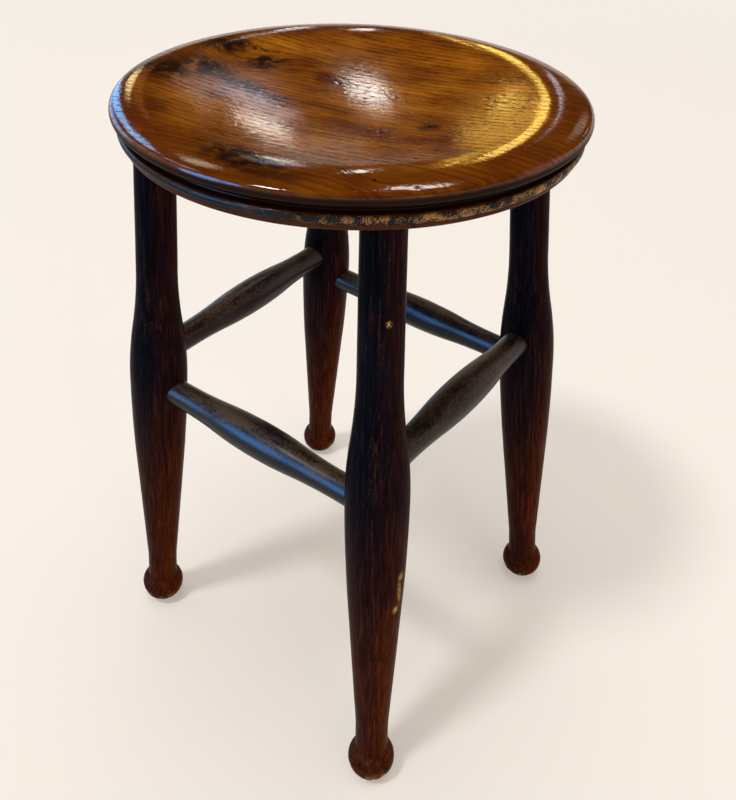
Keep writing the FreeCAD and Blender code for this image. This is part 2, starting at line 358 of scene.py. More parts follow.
def lathe():
    """A tree that takes an outline, and the sizes, place and finish of the piece turned from it."""
    tree = bpy.data.node_groups.new("turned_on_the_lathe", "GeometryNodeTree")
    for name, kind in {
        "Outline": "NodeSocketGeometry",
        "Rings": "NodeSocketInt",
        "Facets": "NodeSocketInt",
        "Waver": "NodeSocketFloat",
        "Waver size": "NodeSocketFloat",
        "Dent depth": "NodeSocketFloat",
        "Dent size": "NodeSocketFloat",
        "Chip depth": "NodeSocketFloat",
        "Chip height": "NodeSocketFloat",
        "Seed": "NodeSocketFloat",
        "Place": "NodeSocketVector",
        "Lean": "NodeSocketVector",
        "Finish": "NodeSocketMaterial",
    }.items():
        tree.interface.new_socket(name, in_out="INPUT", socket_type=kind)
    tree.interface.new_socket("Piece", in_out="OUTPUT", socket_type="NodeSocketGeometry")
    given = add(tree, "NodeGroupInput").outputs

    # The place of a point, at whatever stage a node asks for it
    position = add(tree, "GeometryNodeInputPosition")
    at = add(tree, "ShaderNodeSeparateXYZ", {}, {0: position}).outputs

    # A flat grid is rolled up: across it goes round the axis, and up it goes along the outline.
    columns = add(tree, "ShaderNodeMath", PLUS, {0: given["Facets"], 1: 1})
    flat = add(
        tree,
        "GeometryNodeMeshGrid",
        {},
        {"Size X": 1, "Size Y": 1, "Vertices X": columns, "Vertices Y": given["Rings"]},
    )
    turn = weighed(tree, [(at["X"], math.tau)], math.pi)
    last_ring = add(tree, "ShaderNodeMath", MINUS, {0: given["Rings"], 1: 1})
    from_start = add(tree, "ShaderNodeMath", PLUS, {0: at["Y"], 1: 0.5})
    ring = add(tree, "ShaderNodeMath", TIMES, {0: from_start, 1: last_ring})
    ring_number = add(tree, "FunctionNodeFloatToInt", {"rounding_mode": "ROUND"}, {0: ring})
    corner = add(
        tree,
        "GeometryNodeSampleIndex",
        VECTOR_AT_POINTS,
        {"Geometry": given["Outline"], "Value": position, "Index": ring_number},
    )
    on_outline = add(tree, "ShaderNodeSeparateXYZ", {}, {0: corner}).outputs
    cosine = add(tree, "ShaderNodeMath", {"operation": "COSINE"}, {0: turn})
    sine = add(tree, "ShaderNodeMath", {"operation": "SINE"}, {0: turn})
    spoke = add(tree, "ShaderNodeCombineXYZ", {}, {"X": cosine, "Y": sine})
    arm = add(tree, "ShaderNodeVectorMath", SCALED, {0: spoke, "Scale": on_outline["X"]})
    lift = add(tree, "ShaderNodeCombineXYZ", {}, {"Z": on_outline["Z"]})
    rolled = add(tree, "ShaderNodeVectorMath", PLUS, {0: arm, 1: lift})
    tube = add(tree, "GeometryNodeSetPosition", {}, {"Geometry": flat, "Position": rolled})
    closed = add(tree, "GeometryNodeMergeByDistance", {}, {"Geometry": tube, "Distance": WELD_DISTANCE})

    # What the finishes read: the place on the piece as it lay on the lathe, and the piece's own seed.
    placed = add(
        tree,
        "GeometryNodeStoreNamedAttribute",
        VECTOR_AT_POINTS,
        {"Geometry": closed, "Name": "turned_place", "Value": position},
    )
    seeded = add(
        tree,
        "GeometryNodeStoreNamedAttribute",
        NUMBER_AT_POINTS,
        {"Geometry": placed, "Name": "piece_seed", "Value": given["Seed"]},
    )

    # Waver, dents and chips all go into the wood, so the piece stays inside its true outline. The
    # finishes read where it is chipped too.
    noise = {}
    for mark, size, detail in (
        ("waver", given["Waver size"], 2),
        ("dent", given["Dent size"], 1),
        ("chip", CHIP_SIZE, 3),
    ):
        scale = add(tree, "ShaderNodeMath", OVER, {0: 1, 1: size})
        noise[mark] = add(
            tree,
            "ShaderNodeTexNoise",
            BY_SEED,
            {"Vector": position, "W": given["Seed"], "Scale": scale, "Detail": detail},
        )
    dented = add(tree, "ShaderNodeMapRange", SMOOTH, {"Value": noise["dent"], **DENT_SPAN})
    chip_edge = add(tree, "ShaderNodeMapRange", SMOOTH, {"Value": noise["chip"], **CHIP_SPAN})
    low_down = add(
        tree,
        "ShaderNodeMapRange",
        SMOOTH,
        {"Value": at["Z"], "From Min": given["Chip height"], "From Max": 0},
    )
    chipped = add(tree, "ShaderNodeMath", TIMES, {0: chip_edge, 1: low_down})
    marked = add(
        tree,
        "GeometryNodeStoreNamedAttribute",
        NUMBER_AT_POINTS,
        {"Geometry": seeded, "Name": "chipped", "Value": chipped},
    )
    depths = [
        (noise["waver"], given["Waver"]),
        (dented, given["Dent depth"]),
        (chipped, given["Chip depth"]),
    ]
    inwards = add(tree, "ShaderNodeMath", TIMES, {0: weighed(tree, depths), 1: -1})
    normal = add(tree, "GeometryNodeInputNormal")
    push = add(tree, "ShaderNodeVectorMath", SCALED, {0: normal, "Scale": inwards})
    worn = add(tree, "GeometryNodeSetPosition", {}, {"Geometry": marked, "Offset": push})

    lean = add(tree, "FunctionNodeEulerToRotation", {}, {0: given["Lean"]})
    stood = add(
        tree,
        "GeometryNodeTransform",
        {},
        {"Geometry": worn, "Translation": given["Place"], "Rotation": lean},
    )
    floor_up = add(tree, "ShaderNodeMath", LARGER, {0: at["Z"], 1: 0})
    on_floor = add(tree, "ShaderNodeCombineXYZ", {}, {"X": at["X"], "Y": at["Y"], "Z": floor_up})
    level = add(tree, "GeometryNodeSetPosition", {}, {"Geometry": stood, "Position": on_floor})
    smooth = add(tree, "GeometryNodeSetShadeSmooth", {}, {"Geometry": level})
    real = add(tree, "GeometryNodeRealizeInstances", {}, {"Geometry": smooth})
    finished = add(tree, "GeometryNodeSetMaterial", {}, {"Geometry": real, "Material": given["Finish"]})
    add(tree, "NodeGroupOutput", {}, {"Piece": finished})
    return tree


LATHE = lathe()


def turned_piece(name, node, corners, spacing, place, lean, sizes):
    """Turn one piece on the lathe, and put it in the place of its node."""
    points = outline_points(corners, spacing)
    outline = bpy.data.meshes.new(f"{name}_outline")
    edges = [(index, index + 1) for index in range(len(points) - 1)]
    outline.from_pydata([(point.x, 0, point.y) for point in points], edges, [])
    blank = bpy.data.objects.new(f"{name}_outline", outline)
    bpy.context.scene.collection.objects.link(blank)
    modifier = blank.modifiers.new("lathe", "NODES")
    modifier.node_group = LATHE
    sizes = {"Rings": len(points), "Place": place, "Lean": lean, **sizes}
    for item in LATHE.interface.items_tree:
        if item.in_out == "INPUT" and item.name in sizes:
            modifier[item.identifier] = sizes[item.name]
    scene_state = bpy.context.evaluated_depsgraph_get()
    scene_state.update()
    mesh = bpy.data.meshes.new_from_object(blank.evaluated_get(scene_state))
    bpy.data.objects.remove(blank)
    mesh.name = name
    piece = bpy.data.objects.new(name, mesh)
    bpy.context.scene.collection.objects.link(piece)
    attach(piece, "root")
    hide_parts(node)


def lean_to(direction):
    """The turns that lay an upright piece along a direction."""
    return Vector(Vector((0, 0, 1)).rotation_difference(direction).to_euler())


# Finishes


def fresh_material(name):
    """A new material with no nodes yet, and its tree."""
    material = bpy.data.materials.new(name)
    material.use_nodes = True
    material.node_tree.nodes.clear()
    return material, material.node_tree


def blot(tree, place, centre, half_size):
    """How deep inside a soft-edged oval a place is: 1 in its middle, 0 outside it."""
    offset = add(tree, "ShaderNodeVectorMath", MINUS, {0: place, 1: centre})
    shrunk = add(tree, "ShaderNodeVectorMath", OVER, {0: offset, 1: half_size})
    distance = add(tree, "ShaderNodeVectorMath", LENGTH, {0: shrunk})
    return add(tree, "ShaderNodeMapRange", SMOOTH, {"Value": distance, "From Min": 1, "From Max": 0})


def blots(tree, place, ovals):
    """The deepest that a place is inside any of the ovals."""
    deepest = blot(tree, place, *ovals[0])
    for oval in ovals[1:]:
        other = blot(tree, place, *oval)
        deepest = add(tree, "ShaderNodeMath", LARGER, {0: deepest, 1: other})
    return deepest


def layered(tree, ground, layers):
    """A ground colour with other colours laid over it in turn, each by its own share."""
    for share, colour in layers:
        ground = add(tree, "ShaderNodeMix", COLOURS, {"Factor": share, "A": ground, "B": linear(colour)})
    return ground


BUMP_STRENGTH = 0.5

# Elm board: which way its grain runs, how wide its rings are and how they wander.
GRAIN_TURN = math.radians(11)
RING_WIDTH = 6.5 * MM
EARLY_WOOD_SPAN = {"From Min": 0.5, "From Max": 0.0}
WANDER_SIZE = 50 * MM
WANDER_SWING = 14 * MM
WANDER_PACE_SHARE = 0.3

# Each pattern of the grain: its pace along the board as a share of that across, its width and its
# detail. The pores are wider than real ones, so that they show.
ELM_PATTERNS = {
    "figure": (0.35, 20 * MM, 3),
    "fibre": (0.035, 2.4 * MM, 5),
    "pore": (0.16, 0.85 * MM, 1),
    "ripple": (0.45, 2.4 * MM, 2),
}
ELM_PATTERN_ROUGHNESS = 0.62
ELM_PORE_SPAN = {"From Min": 0.48, "From Max": 0.57}
LATE_WOOD_PORES = 0.2
EARLY_WOOD_PORES = 0.8

# Seat marks, as where they lie on the seat and their half sizes. A knot also has how far it bends the
# rings.
ANY_DEPTH = 100.0
KNOTS = [
    ((-105 * MM, -8 * MM, 0), (62 * MM, 52 * MM, ANY_DEPTH), 26 * MM),
    ((106 * MM, -117 * MM, 0), (34 * MM, 20 * MM, ANY_DEPTH), 10 * MM),
]
STAINS = [
    ((-128 * MM, -62 * MM, 0), (44 * MM, 34 * MM, ANY_DEPTH)),
    ((-112 * MM, -34 * MM, 0), (40 * MM, 30 * MM, ANY_DEPTH)),
    ((-134 * MM, 12 * MM, 0), (30 * MM, 30 * MM, ANY_DEPTH)),
    ((-92 * MM, 8 * MM, 0), (24 * MM, 30 * MM, ANY_DEPTH)),
    ((-66 * MM, -37 * MM, 0), (66 * MM, 15 * MM, ANY_DEPTH)),
    ((74 * MM, -15 * MM, 0), (12 * MM, 12 * MM, ANY_DEPTH)),
    ((30 * MM, -138 * MM, 0), (60 * MM, 26 * MM, ANY_DEPTH)),
]
DENTS = [
    ((5.5 * MM, 6.8 * MM, 0), (2.6 * MM, 1.6 * MM, ANY_DEPTH)),
    ((123.4 * MM, -103 * MM, 0), (3.0 * MM, 2.2 * MM, ANY_DEPTH)),
    ((108 * MM, 48 * MM, 0), (2.4 * MM, 1.5 * MM, ANY_DEPTH)),
    ((102 * MM, -113 * MM, 0), (2.6 * MM, 2.0 * MM, ANY_DEPTH)),
]
# The side of the bead whose wear flecks carry a painted warm highlight, where warm light falls.
WORN_AND_WARM_LIT_SIDE = ((145 * MM, -68 * MM, 0), (150 * MM, 150 * MM, ANY_DEPTH))

# Bands of the moulded edge: the heights above the underside where each starts and where it is full.
EDGE_BANDS = {
    "up_from_bead": (BEAD_HIGH - 1.5 * MM, BEAD_HIGH),
    "down_from_nose": (NOSE_HEIGHT + 4 * MM, NOSE_HEIGHT),
    "below_cove": (BEAD_HIGH, BEAD_HIGH - 2 * MM),
    "above_lip": (LIP_HEIGHT, BEAD_LOW),
}
EDGE_RADIUS = 150 * MM
RIM_SPAN = {"From Min": 118 * MM, "From Max": 152 * MM}

# Patches on the elm, and where they make a stain ragged or fleck the bead.
CLOUD_SIZE = 60 * MM
SMUDGE_SIZE = 9 * MM
GRIT_SIZE = 0.9 * MM
RAGGED_SPAN = {"From Min": 0.3, "From Max": 0.55}
GOLD_FLECK_SPAN = {"From Min": 0.94, "From Max": 1.16}

# Colours of the elm, from its darkest wood to its lightest, and those laid over it with their shares.
ELM_SHADES = [
    (0.36, "#331503"),
    (0.44, "#663104"),
    (0.51, "#854807"),
    (0.58, "#9c5c0c"),
    (0.68, "#b87b28"),
]
EARLY_WOOD = "#3a1604"
EARLY_WOOD_SHARE = 0.3
RED_RIM = "#431402"
RED_RIM_SHARE = 0.65
BLACK_STAIN = "#1f0c05"
BLACK_STAIN_SHARE = 1.4
PORE_DIRT = "#1a0802"
PORE_DIRT_SHARE = 0.85
RIM_PORE_LOSS = 0.55
DENT_DIRT = "#0d0503"
# Near black in the cove and under the nose: dirt, and painted shade where the nose overhangs.
COVE_DIRT_AND_SHADE = "#1a0b05"
BLUE_BLACK_BEAD = "#10151f"
BROWN_LIP = "#2c0f04"
BROWN_LIP_SHARE = 0.7
# The gold of the bead's flecks, with a painted warm highlight that makes one side bright.
GOLD_FLECK_AND_HIGHLIGHT = "#b08448"
GOLD_FLECK_AND_HIGHLIGHT_SHARE = 1.7

# Wax on the elm, how much of it matt places have lost, and the height of the grain under it.
ELM_ROUGHNESS = 0.38
WAX = 0.9
WAX_LOSS = 0.75
WAX_ROUGHNESS = 0.07
MATT_EDGE_SHARE = 0.85
ELM_BUMP_HEIGHT = 0.1 * MM


def elm_grain(tree, place):
    """Growth rings, flame figure, fibres and open pores of an elm board that lies along the seat's X
    axis, bent round its knots. Each is from 0 to 1."""
    board = add(tree, "ShaderNodeMapping", {}, {"Vector": place, "Rotation": (0, 0, -GRAIN_TURN)})
    on_board = add(tree, "ShaderNodeSeparateXYZ", {}, {0: board}).outputs
    drawn_out = add(tree, "ShaderNodeMapping", {}, {"Vector": board, "Scale": (WANDER_PACE_SHARE, 1, 1)})
    wander = add(
        tree,
        "ShaderNodeTexNoise",
        {},
        {"Vector": drawn_out, "Scale": 1 / WANDER_SIZE, "Detail": 2},
    )
    bends = [(blot(tree, place, centre, half_size), swing) for centre, half_size, swing in KNOTS]
    across = weighed(tree, [(wander, WANDER_SWING), *bends], on_board["Y"])
    rings = add(tree, "ShaderNodeMath", OVER, {0: across, 1: RING_WIDTH})
    ring = add(tree, "ShaderNodeMath", {"operation": "FRACT"}, {0: rings})
    early_wood = add(tree, "ShaderNodeMapRange", SMOOTH, {"Value": ring, **EARLY_WOOD_SPAN})
    grain = {"early_wood": early_wood}
    for name, (pace, width, detail) in ELM_PATTERNS.items():
        drawn = add(tree, "ShaderNodeMath", TIMES, {0: on_board["X"], 1: pace})
        lie = add(tree, "ShaderNodeCombineXYZ", {}, {"X": drawn, "Y": across, "Z": on_board["Z"]})
        grain[name] = add(
            tree,
            "ShaderNodeTexNoise",
            {},
            {"Vector": lie, "Scale": 1 / width, "Detail": detail, "Roughness": ELM_PATTERN_ROUGHNESS},
        )
    dashes = add(tree, "ShaderNodeMapRange", {}, {"Value": grain["pore"], **ELM_PORE_SPAN})
    crowd = weighed(tree, [(early_wood, EARLY_WOOD_PORES)], LATE_WOOD_PORES)
    grain["pore"] = add(tree, "ShaderNodeMath", TIMES, {0: dashes, 1: crowd})
    return grain


def moulded_edge(tree, place, radius):
    """The cove, the bead, the lip and all that is below the cove, each 1 on it and 0 off it."""
    height = add(tree, "ShaderNodeSeparateXYZ", {}, {0: place}).outputs["Z"]
    outside = add(tree, "ShaderNodeMath", {"operation": "GREATER_THAN"}, {0: radius, 1: EDGE_RADIUS})
    band = {}
    for name, (start, full) in EDGE_BANDS.items():
        band[name] = add(
            tree,
            "ShaderNodeMapRange",
            SMOOTH,
            {"Value": height, "From Min": SEAT_UNDERSIDE + start, "From Max": SEAT_UNDERSIDE + full},
        )
    hollow = add(tree, "ShaderNodeMath", TIMES, {0: band["up_from_bead"], 1: band["down_from_nose"]})
    bulge = add(tree, "ShaderNodeMath", TIMES, {0: band["below_cove"], 1: band["above_lip"]})
    return {
        "cove": add(tree, "ShaderNodeMath", TIMES, {0: hollow, 1: outside}),
        "bead": add(tree, "ShaderNodeMath", TIMES, {0: bulge, 1: outside}),
        "lip": add(tree, "ShaderNodeMath", MINUS, {0: outside, 1: band["above_lip"]}),
        "low": add(tree, "ShaderNodeMath", TIMES, {0: band["below_cove"], 1: outside}),
    }


def polished_elm():
    """Elm, dished by hand, stained and wax polished for years. It gives flamed orange brown wood with
    dark dashes of open grain under a deep gloss, a red brown rim, near black dirt and painted shade
    in the cove and under the nose, and a matt blue black bead over a dark lip, flecked gold on one
    side by wear and a painted warm highlight."""
    material, tree = fresh_material("polished_elm")
    place = add(tree, "ShaderNodeTexCoord").outputs["Object"]
    grain = elm_grain(tree, place)
    cloud = add(tree, "ShaderNodeTexNoise", {}, {"Vector": place, "Scale": 1 / CLOUD_SIZE, "Detail": 4})
    smudge = add(tree, "ShaderNodeTexNoise", {}, {"Vector": place, "Scale": 1 / SMUDGE_SIZE, "Detail": 4})
    grit = add(tree, "ShaderNodeTexNoise", {}, {"Vector": place, "Scale": 1 / GRIT_SIZE, "Detail": 5})
    flat = add(tree, "ShaderNodeVectorMath", TIMES, {0: place, 1: (1, 1, 0)})
    radius = add(tree, "ShaderNodeVectorMath", LENGTH, {0: flat})
    edge = moulded_edge(tree, place, radius)

    # The board, its rings and rim, and its stains, pores and dents
    shade = weighed(tree, [(cloud, 0.38), (grain["figure"], 0.3), (grain["fibre"], 0.32)])
    wood = add(tree, "ShaderNodeValToRGB", {"stops": ELM_SHADES}, {"Fac": shade})
    ring_share = add(tree, "ShaderNodeMath", TIMES, {0: grain["early_wood"], 1: EARLY_WOOD_SHARE})
    at_rim = add(tree, "ShaderNodeMapRange", SMOOTH, {"Value": radius, **RIM_SPAN})
    rim_share = add(tree, "ShaderNodeMath", TIMES, {0: at_rim, 1: RED_RIM_SHARE})
    ragged = add(tree, "ShaderNodeMapRange", {}, {"Value": smudge, **RAGGED_SPAN})
    blotted = add(tree, "ShaderNodeMath", TIMES, {0: blots(tree, place, STAINS), 1: ragged})
    stain_share = add(tree, "ShaderNodeMath", TIMES_UP_TO_ONE, {0: blotted, 1: BLACK_STAIN_SHARE})
    pore_depth = weighed(tree, [(at_rim, -RIM_PORE_LOSS)], PORE_DIRT_SHARE)
    pore_share = add(tree, "ShaderNodeMath", TIMES, {0: grain["pore"], 1: pore_depth})
    dented = blots(tree, place, DENTS)

    # The lip, and gold flecks on one side of the bead: wear, brightened there by a painted warm highlight
    lip_share = add(tree, "ShaderNodeMath", TIMES_UP_TO_ONE, {0: edge["lip"], 1: BROWN_LIP_SHARE})
    patchy = add(tree, "ShaderNodeMath", PLUS, {0: grit, 1: smudge})
    flecks = add(tree, "ShaderNodeMapRange", {}, {"Value": patchy, **GOLD_FLECK_SPAN})
    worn_and_warm_lit_side = blot(tree, place, *WORN_AND_WARM_LIT_SIDE)
    lit_side_share = add(tree, "ShaderNodeMath", TIMES_UP_TO_ONE, {0: worn_and_warm_lit_side, 1: GOLD_FLECK_AND_HIGHLIGHT_SHARE})
    fleck_and_highlight_depth = add(tree, "ShaderNodeMath", TIMES, {0: flecks, 1: lit_side_share})
    fleck_and_highlight_share = add(tree, "ShaderNodeMath", TIMES, {0: fleck_and_highlight_depth, 1: edge["bead"]})
    colour = layered(
        tree,
        wood,
        [
            (ring_share, EARLY_WOOD),
            (rim_share, RED_RIM),
            (stain_share, BLACK_STAIN),
            (pore_share, PORE_DIRT),
            (dented, DENT_DIRT),
            # Dirt and painted shade, near black, in the cove and under the nose.
            (edge["cove"], COVE_DIRT_AND_SHADE),
            (edge["bead"], BLUE_BLACK_BEAD),
            (lip_share, BROWN_LIP),
            (fleck_and_highlight_share, GOLD_FLECK_AND_HIGHLIGHT),
        ],
    )

    # Wax gloss, and the grain that can be felt through it
    unpolished = weighed(tree, [(edge["low"], MATT_EDGE_SHARE)], edge["cove"])
    open_grain = add(tree, "ShaderNodeMath", LARGER, {0: grain["pore"], 1: dented})
    matt = add(tree, "ShaderNodeMath", LARGER, {0: open_grain, 1: unpolished})
    wax = weighed(tree, [(matt, -WAX_LOSS)], WAX)
    rubbed = add(tree, "ShaderNodeMath", TIMES, {0: patchy, 1: edge["bead"]})
    felt = weighed(
        tree,
        [
            (grain["fibre"], 0.25),
            (grain["ripple"], 1.3),
            (pore_share, -0.5),
            (rubbed, 5.0),
            (dented, -2.0),
        ],
    )
    bump = add(
        tree,
        "ShaderNodeBump",
        {},
        {"Strength": BUMP_STRENGTH, "Distance": ELM_BUMP_HEIGHT, "Height": felt},
    )
    shader = add(
        tree,
        "ShaderNodeBsdfPrincipled",
        {},
        {
            "Base Color": colour,
            "Roughness": ELM_ROUGHNESS,
            "Specular IOR Level": 0.0,
            "Normal": bump,
            "Coat Weight": wax,
            "Coat Roughness": WAX_ROUGHNESS,
            "Coat Normal": bump,
        },
    )
    add(tree, "ShaderNodeOutputMaterial", {}, {"Surface": shader})
    return material


# Each pattern of the beech: its pace along the piece as a share of that across, its width and its
# detail. The pores are wider than real ones, so that they show.
BEECH_PATTERNS = {
    "patch": (0.3, 16 * MM, 6),
    "fibre": (0.04, 1.8 * MM, 5),
    "pore": (0.12, 1.0 * MM, 1),
    "grit": (1.0, 1.4 * MM, 3),
}
BEECH_PATTERN_ROUGHNESS = 0.65

# Scuffs on the nearest leg, down to bare wood, as where they lie and their half sizes.
SCUFFS = [
    ((143.0 * MM, -116.5 * MM, 241.0 * MM), (4.5 * MM, 4.5 * MM, 7.0 * MM)),
    ((144.2 * MM, -118.6 * MM, 226.0 * MM), (3.3 * MM, 3.3 * MM, 21.0 * MM)),
    ((145.2 * MM, -123.0 * MM, 210.0 * MM), (4.4 * MM, 4.4 * MM, 5.5 * MM)),
    ((111.6 * MM, -104.3 * MM, 449.0 * MM), (3.0 * MM, 3.0 * MM, 3.4 * MM)),
]
TORN_SPAN = {"From Min": 0.42, "From Max": 0.52}

# Where it turns brown: low down, as the black stain wears, and on one side, as a painted warm sheen.
LOW_SPAN = {"From Min": 350 * MM, "From Max": 80 * MM}
# The way that the side with a painted warm sheen faces, and how much browner the sheen makes it.
WARM_SHEEN_SIDE = (0.81, 0.59, 0)
WARM_SHEEN_SPAN = {"From Min": -0.35, "From Max": 0.95}
WARM_SHEEN_SHARE = 0.26
LOW_WEAR_SHEEN_SHARE = 0.45
LOW_WEAR_BASE_SHARE = 0.55
UNEVEN_SPAN = {"From Min": 0.05, "From Max": 0.5}

# Colours of the beech along its fibres, and those laid over it with where they show.
BLACK_SHADES = [(0.38, "#04060d"), (0.52, "#080b16"), (0.68, "#0f1320")]
BROWN_SHADES = [(0.38, "#361300"), (0.52, "#4c1e01"), (0.68, "#683108")]
RED_FLECK = "#4c2a12"
RED_FLECK_SPAN = {"From Min": 1.05, "From Max": 1.22, "To Max": 0.4}
DARK_PORE = "#070406"
DARK_PORE_SPAN = {"From Min": 0.55, "From Max": 0.65, "To Max": 0.5}
# Upward faces go dull gold: rubbed wear, with a painted top sheen.
RUBBED_AND_SHEEN_TOP = "#645038"
UPWARD_SPAN = {"From Min": 0.25, "From Max": 0.9}
SPECKLE_SPAN = {"From Min": 0.9, "From Max": 1.1}
BARE_BEECH = "#c39c55"
BEECH_ROUGHNESS = 0.2
BEECH_BUMP_HEIGHT = 0.15 * MM


def turned_grain(tree):
    """Fibres, pores and patches along a turned piece, each from 0 to 1, and its place on the lathe."""
    place = add(tree, "ShaderNodeAttribute", {"attribute_name": "turned_place"}).outputs["Vector"]
    seed = add(tree, "ShaderNodeAttribute", {"attribute_name": "piece_seed"}).outputs["Fac"]
    grain = {"place": place}
    for name, (pace, width, detail) in BEECH_PATTERNS.items():
        drawn = add(tree, "ShaderNodeMapping", {}, {"Vector": place, "Scale": (1, 1, pace)})
        grain[name] = add(
            tree,
            "ShaderNodeTexNoise",
            BY_SEED,
            {
                "Vector": drawn,
                "W": seed,
                "Scale": 1 / width,
                "Detail": detail,
                "Roughness": BEECH_PATTERN_ROUGHNESS,
            },
        )
    return grain


def stained_beech(name, low_wear, top_wear_and_sheen, gloss):
    """Beech, turned, stained blue black and waxed. It gives near black wood with fine grain along the
    piece, flecked red brown, worn brown low down, browned on one side by a painted warm sheen, rubbed
    dull gold on top with a painted top sheen, and bare where it is scuffed or chipped."""
    material, tree = fresh_material(name)
    grain = turned_grain(tree)
    along = add(tree, "ShaderNodeSeparateXYZ", {}, {0: grain["place"]}).outputs["Z"]
    facing = add(tree, "ShaderNodeNewGeometry").outputs["Normal"]
    upward = add(tree, "ShaderNodeSeparateXYZ", {}, {0: facing}).outputs["Z"]
    mottle = add(tree, "ShaderNodeMath", PLUS, {0: grain["patch"], 1: grain["grit"]})

    # Black stain, gone brown low down, and browned on one side by a painted warm sheen
    black = add(tree, "ShaderNodeValToRGB", {"stops": BLACK_SHADES}, {"Fac": grain["fibre"]})
    brown = add(tree, "ShaderNodeValToRGB", {"stops": BROWN_SHADES}, {"Fac": grain["fibre"]})
    low = add(tree, "ShaderNodeMapRange", SMOOTH, {"Value": along, **LOW_SPAN, "To Max": low_wear})
    # Painted warm sheen: the sides that face one way turn brown, as warm light on them would look.
    toward_sheen_side = add(tree, "ShaderNodeVectorMath", ALONG, {0: facing, 1: WARM_SHEEN_SIDE}).outputs["Value"]
    warm_sheen = add(tree, "ShaderNodeMapRange", SMOOTH, {"Value": toward_sheen_side, **WARM_SHEEN_SPAN})
    low_wear_by_sheen = weighed(tree, [(warm_sheen, LOW_WEAR_SHEEN_SHARE)], LOW_WEAR_BASE_SHARE)
    low_wear_and_sheen = add(tree, "ShaderNodeMath", TIMES, {0: low, 1: low_wear_by_sheen})
    wear_and_side_sheen = weighed(tree, [(warm_sheen, WARM_SHEEN_SHARE)], low_wear_and_sheen)
    uneven = add(tree, "ShaderNodeMapRange", {}, {"Value": grain["patch"], **UNEVEN_SPAN})
    # The share of brown: real wear low down together with the painted warm sheen.
    worn = add(tree, "ShaderNodeMath", TIMES_UP_TO_ONE, {0: wear_and_side_sheen, 1: uneven})
    body = add(tree, "ShaderNodeMix", COLOURS, {"Factor": worn, "A": black, "B": brown})

    # Flecks, pores, the rubbed top with its painted top sheen, and scuffs and chips down to bare wood
    streaked = weighed(tree, [(mottle, 0.65), (grain["fibre"], 0.7)])
    flecks = add(tree, "ShaderNodeMapRange", {}, {"Value": streaked, **RED_FLECK_SPAN})
    pores = add(tree, "ShaderNodeMapRange", {}, {"Value": grain["pore"], **DARK_PORE_SPAN})
    # Painted top sheen, with rubbed wear, on faces that look up.
    on_top = add(tree, "ShaderNodeMapRange", SMOOTH, {"Value": upward, **UPWARD_SPAN, "To Max": top_wear_and_sheen})
    speckle = add(tree, "ShaderNodeMapRange", {}, {"Value": mottle, **SPECKLE_SPAN})
    rub_and_sheen = add(tree, "ShaderNodeMath", TIMES, {0: on_top, 1: speckle})
    torn = add(tree, "ShaderNodeMapRange", {}, {"Value": grain["grit"], **TORN_SPAN})
    room = add(tree, "ShaderNodeTexCoord").outputs["Object"]
    scuff = add(tree, "ShaderNodeMath", TIMES, {0: blots(tree, room, SCUFFS), 1: torn})
    chip = add(tree, "ShaderNodeAttribute", {"attribute_name": "chipped"}).outputs["Fac"]
    chip_torn = add(tree, "ShaderNodeMath", TIMES, {0: chip, 1: torn})
    bare = add(tree, "ShaderNodeMath", LARGER, {0: scuff, 1: chip_torn})
    colour = layered(
        tree,
        body,
        [(flecks, RED_FLECK), (pores, DARK_PORE), (rub_and_sheen, RUBBED_AND_SHEEN_TOP), (bare, BARE_BEECH)],
    )

    # Sheen, and the grain that can be felt
    rough = weighed(tree, [(grain["patch"], 0.2), (rub_and_sheen, 0.1), (bare, 0.1)], BEECH_ROUGHNESS)
    felt = weighed(tree, [(grain["grit"], 0.5), (pores, -0.6), (bare, -2.0)], grain["fibre"])
    bump = add(
        tree,
        "ShaderNodeBump",
        {},
        {"Strength": BUMP_STRENGTH, "Distance": BEECH_BUMP_HEIGHT, "Height": felt},
    )
    shader = add(
        tree,
        "ShaderNodeBsdfPrincipled",
        {},
        {"Base Color": colour, "Roughness": rough, "Specular IOR Level": gloss, "Normal": bump},
    )
    add(tree, "ShaderNodeOutputMaterial", {}, {"Surface": shader})
    return material


ELM = polished_elm()
LEG_BEECH = stained_beech("dark_stained_beech", low_wear=1.0, top_wear_and_sheen=0.2, gloss=0.008)
STRETCHER_BEECH = stained_beech("foot_rubbed_beech", low_wear=0.0, top_wear_and_sheen=0.55, gloss=0.22)

# The pieces

turned_piece(
    "seat_board",
    "seat",
    seat_outline(),
    SEAT_SPACING,
    Vector((0, 0, SEAT_UNDERSIDE)),
    Vector((0, 0, 0)),
    {**SEAT_TURNING, "Seed": SEAT_SEED, "Finish": ELM},
)

for number, corner in enumerate(CORNERS):
    axis = seat_point(corner) - foot_point(corner)
    turned_piece(
        f"turned_leg_{corner}",
        f"leg_{corner}",
        leg_outline(axis.length),
        TURNING_SPACING,
        foot_point(corner) - axis.normalized() * FOOT_TRIM,
        lean_to(axis),
        {**LEG_TURNING, "Seed": FIRST_LEG_SEED + number, "Finish": LEG_BEECH},
    )

for number, (side, (start_corner, end_corner, height)) in enumerate(STRETCHERS.items()):
    start = point_at_height(start_corner, height)
    axis = point_at_height(end_corner, height) - start
    turned_piece(
        f"turned_stretcher_{side}",
        f"stretcher_{side}",
        stretcher_outline(axis.length - 2 * STRETCHER_SETBACK),
        TURNING_SPACING,
        start + axis.normalized() * STRETCHER_SETBACK,
        lean_to(axis),
        {**STRETCHER_TURNING, "Seed": FIRST_STRETCHER_SEED + number, "Finish": STRETCHER_BEECH},
    )


# Studio: a pale floor, a pale surround, soft lamps and the camera

CREAM = "#f6efe5"
FLOOR_HALF = 30.0

